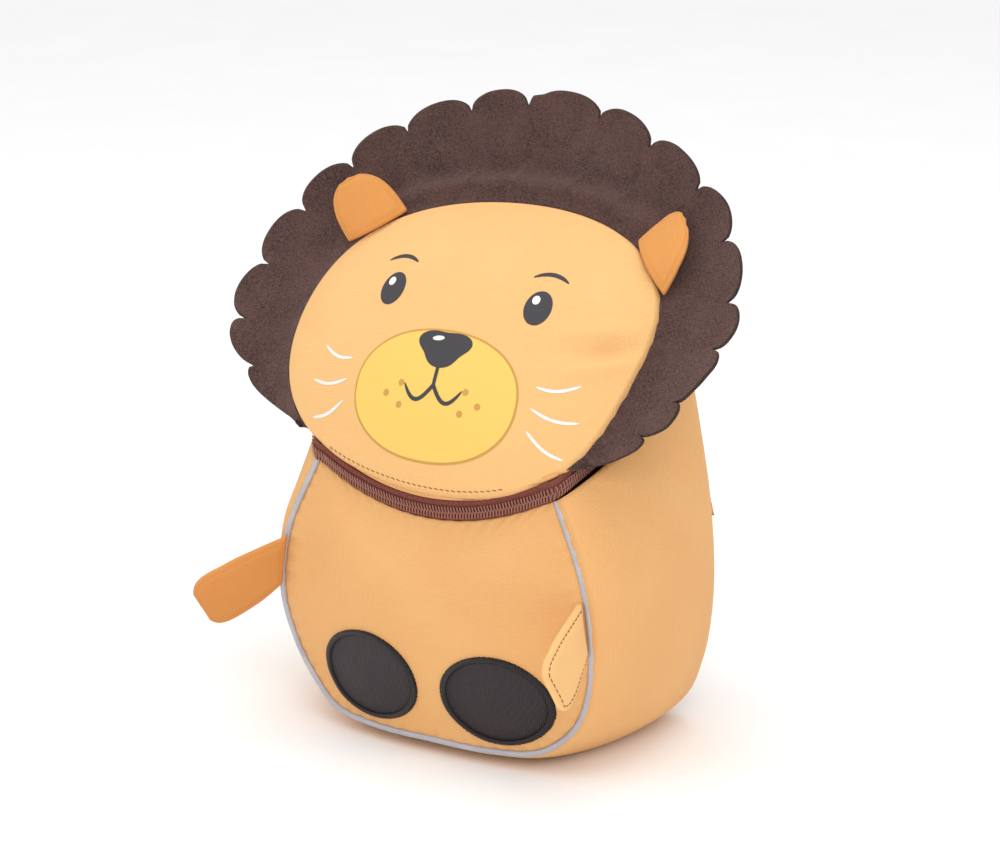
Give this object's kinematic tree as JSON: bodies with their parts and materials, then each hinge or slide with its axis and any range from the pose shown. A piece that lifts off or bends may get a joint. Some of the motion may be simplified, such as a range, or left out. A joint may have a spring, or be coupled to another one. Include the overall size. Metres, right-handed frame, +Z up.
{
  "type": "kids animal backpack",
  "caption": "Small child's rucksack shaped as a sitting lion: rounded pouch body, tilted head lid with scalloped fleece mane, zip round the neck, padded shoulder straps.",
  "frame": {"origin": "on the floor under the middle of the pouch, on the flat underside of the gusset", "axes": "+X to the right of a viewer who faces the lion, -Y out of the lion's belly, +Y to the wearer's back, +Z up"},
  "size_m": [0.2936, 0.2115, 0.3311],
  "materials": {
    "body_cloth": "apricot plain-weave polyester, matt",
    "face_cloth": "light apricot plain-weave polyester, matt, printed",
    "back_padding": "padded apricot polyester",
    "mane_fleece": "brown short-pile fleece",
    "zip_tape": "reddish brown woven tape",
    "zip_coil": "reddish brown nylon coil, satin",
    "piping": "silver-grey reflective piping, semi-gloss",
    "foot_patch": "dark brown satin cloth with fine ribs",
    "foot_border": "dark satin stitch",
    "webbing": "brown polyester webbing",
    "adjuster": "brown moulded plastic"
  },
  "bodies": {
    "root": {"gusset": "body_cloth", "belly_panel": "body_cloth", "back_panel": "back_padding", "piping": "piping", "zip_tape_lower": "zip_tape", "zip_tape_upper": "zip_tape", "zip_coil": "zip_coil", "face_panel": "face_cloth", "head_band": "body_cloth", "mane": "mane_fleece", "ear_right": "body_cloth", "ear_left": "body_cloth", "arm_right": "body_cloth", "arm_left": "body_cloth", "foot_right_patch": "foot_patch", "foot_right_border": "foot_border", "foot_left_patch": "foot_patch", "foot_left_border": "foot_border", "strap_right_pad": "back_padding", "strap_right_web": "webbing", "strap_right_buckle": "adjuster", "strap_left_pad": "back_padding", "strap_left_web": "webbing", "strap_left_buckle": "adjuster", "carry_loop": "webbing"}
  },
  "joints": []
}
